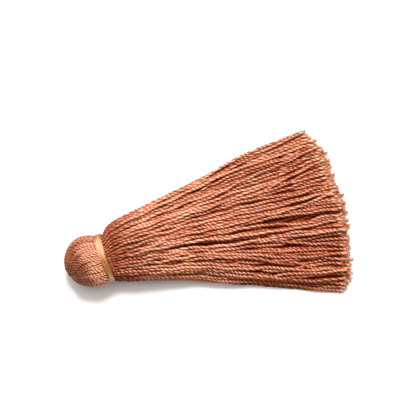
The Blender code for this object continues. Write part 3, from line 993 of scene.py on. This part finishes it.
def build_binding(settings):
    """Lays the floss's filaments side by side in turns."""
    rng = np.random.default_rng(settings.seed)
    tubes = Tubes(settings.turns * settings.filaments)
    around = np.linspace(0, TAU, 97)
    flat, full = np.zeros(len(around)), np.ones(len(around))
    turn_width = settings.width / settings.turns
    angles = np.radians([45.0, 135.0, 225.0, 315.0])
    disc = np.cos(around)[:, None] * LEFTWARDS + np.sin(around)[:, None] * UP
    for turn in range(settings.turns):
        wander = 0.16 * MM * np.sin(around + rng.uniform(0, TAU)) * rng.uniform(0.4, 1.0)
        for filament in range(settings.filaments):
            place = (filament + 0.5) / settings.filaments - 0.5
            wave = 0.04 * MM * np.sin(rng.integers(2, 5) * around + rng.uniform(0, TAU))
            offset = (turn + 0.5) * turn_width - settings.width / 2 + place * turn_width * 0.98
            crown = TURN_CROWN * (1 - (2 * place) ** 2)
            radius = NECK_RADIUS + FLOSS_LIFT + crown + rng.uniform(-0.03, 0.05) * MM
            radius += 0.03 * MM * np.sin(rng.integers(3, 7) * around + rng.uniform(0, TAU))
            ahead = BINDING_FROM_HEAD - 0.1 * MM + offset * (NARROWED + (1 - NARROWED) * np.cos(around))
            ahead = ahead + wander + wave - 0.35 * MM * np.sin(around)
            points = HEAD_CENTRE + NECK_SHIFT + AHEAD * ahead[:, None] + disc * radius[:, None]
            points[:, 2] = np.maximum(points[:, 2], FLOOR_Z + 0.08 * MM)
            edge = abs(2 * (turn + 0.5 + place) / settings.turns - 1)
            tone = rng.uniform(-0.1, 1.2) - 0.8 * edge ** 3
            # Painted highlight and painted shade round the neck, added to the filament's tone.
            for middle, width, change in FLOSS_PAINTED_LIGHT:
                off = np.angle(np.exp(1j * (around - middle)))
                tone += change * np.exp(-(off / width) ** 2)
            thick = np.full(4, rng.uniform(0.13, 0.16) * MM)
            tubes.add(points, around * NECK_RADIUS, angles, thick, flat, full, disc, tone, 44 * MM)
    put_piece("neck_floss", tubes, floss_material(settings), ("neck_binding",))


class TASSEL_OT_binding(Operator):
    """Wind the floss round the neck"""
    bl_idname = "tassel.binding"
    bl_label = "Wind Binding"

    def execute(self, context):
        build_binding(context.scene.tassel_binding)
        return {"FINISHED"}


# ---- stage

IMAGE_TURN = 11.0 * DEGREE
VIEW_MIDDLE = HEAD_CENTRE + np.array([33.2 * MM, 11.05 * MM, 0.0])
VIEW_HEIGHT = 5 * MM
TABLE_SIZE, NEAREST = 6.0, 0.01
# The lights, as name, size, and how far up the image, to its right and above its middle each stands.
LIGHTS = (("key_light", 0.80, 0.20, -0.01, 0.50), ("crisp_light", 0.16, 0.24, -0.01, 0.50))
LIGHT_COLOUR = (1.0, 0.98, 0.95)


def stand(name, data, place, target, upward):
    """Puts a camera or light at a place, looking at its target with its top towards upward."""
    obj = bpy.data.objects.new(name, data)
    bpy.context.scene.collection.objects.link(obj)
    back = Vector(place - target).normalized()
    right = Vector(upward).cross(back).normalized()
    turned = Matrix((right, back.cross(right), back)).transposed()
    obj.matrix_world = Matrix.Translation(place) @ turned.to_4x4()
    return obj


class TASSEL_OT_stage(Operator):
    """Set the pale table, the soft lights and the camera"""
    bl_idname = "tassel.stage"
    bl_label = "Set Stage"

    def execute(self, context):
        scene, settings = context.scene, context.scene.tassel_stage
        bpy.ops.mesh.primitive_plane_add(size=TABLE_SIZE, location=(0.0, 0.0, FLOOR_Z))
        table = context.object
        table.name = "table"
        table.data.materials.append(floor_material(settings))
        image_up, image_right = plan(math.pi / 2 - IMAGE_TURN), plan(-IMAGE_TURN)
        target = np.array([*VIEW_MIDDLE[:2], FLOOR_Z + VIEW_HEIGHT])
        camera = bpy.data.cameras.new("camera")
        camera.lens = settings.lens
        camera.clip_start = NEAREST
        offset = UP * math.sin(settings.elevation) - image_up * math.cos(settings.elevation)
        scene.camera = stand("camera", camera, target + offset * settings.distance, target, image_up)
        powers = (settings.key_power, settings.crisp_power)
        for power, (name, size, up, right, height) in zip(powers, LIGHTS):
            light = bpy.data.lights.new(name, "AREA")
            light.shape = "DISK"
            light.size = size
            light.energy = power
            light.color = LIGHT_COLOUR
            place = target + image_up * up + image_right * right + UP * height
            stand(name, light, place, target, image_up)
        world = scene.world or bpy.data.worlds.new("even_sky")
        scene.world = world
        world.use_nodes = True
        background = world.node_tree.nodes["Background"]
        background.inputs["Color"].default_value = (1.0,) * 4
        background.inputs["Strength"].default_value = settings.sky_strength
        scene.view_settings.view_transform = "Standard"
        return {"FINISHED"}


# ---- add-on

class TASSEL_PT_panel(Panel):
    """The tassel's settings and its building steps"""
    bl_idname = "TASSEL_PT_panel"
    bl_label = "Tassel"
    bl_space_type = "VIEW_3D"
    bl_region_type = "UI"
    bl_category = "Tassel"

    def draw(self, context):
        for name, group, operator in STEPS:
            box = self.layout.box()
            for key in group.__annotations__:
                box.prop(getattr(context.scene, name), key)
            if operator:
                box.operator(operator)


STEPS = (
    ("tassel_cord", TasselCordSettings, ""),
    ("tassel_skirt", TasselSkirtSettings, "tassel.skirt"),
    ("tassel_head", TasselHeadSettings, "tassel.head"),
    ("tassel_binding", TasselBindingSettings, "tassel.binding"),
    ("tassel_stage", TasselStageSettings, "tassel.stage"),
)
CLASSES = (
    *(group for _, group, _ in STEPS),
    TASSEL_OT_skirt, TASSEL_OT_head, TASSEL_OT_binding, TASSEL_OT_stage, TASSEL_PT_panel,
)


def register():
    for item in CLASSES:
        bpy.utils.register_class(item)
    for name, group, _ in STEPS:
        setattr(bpy.types.Scene, name, PointerProperty(type=group))


def unregister():
    for name, _, _ in STEPS:
        delattr(bpy.types.Scene, name)
    for item in reversed(CLASSES):
        bpy.utils.unregister_class(item)


def main():
    register()
    bpy.ops.tassel.stage()
    bpy.ops.tassel.skirt()
    bpy.ops.tassel.head()
    bpy.ops.tassel.binding()


if __name__ == "__main__":
    main()
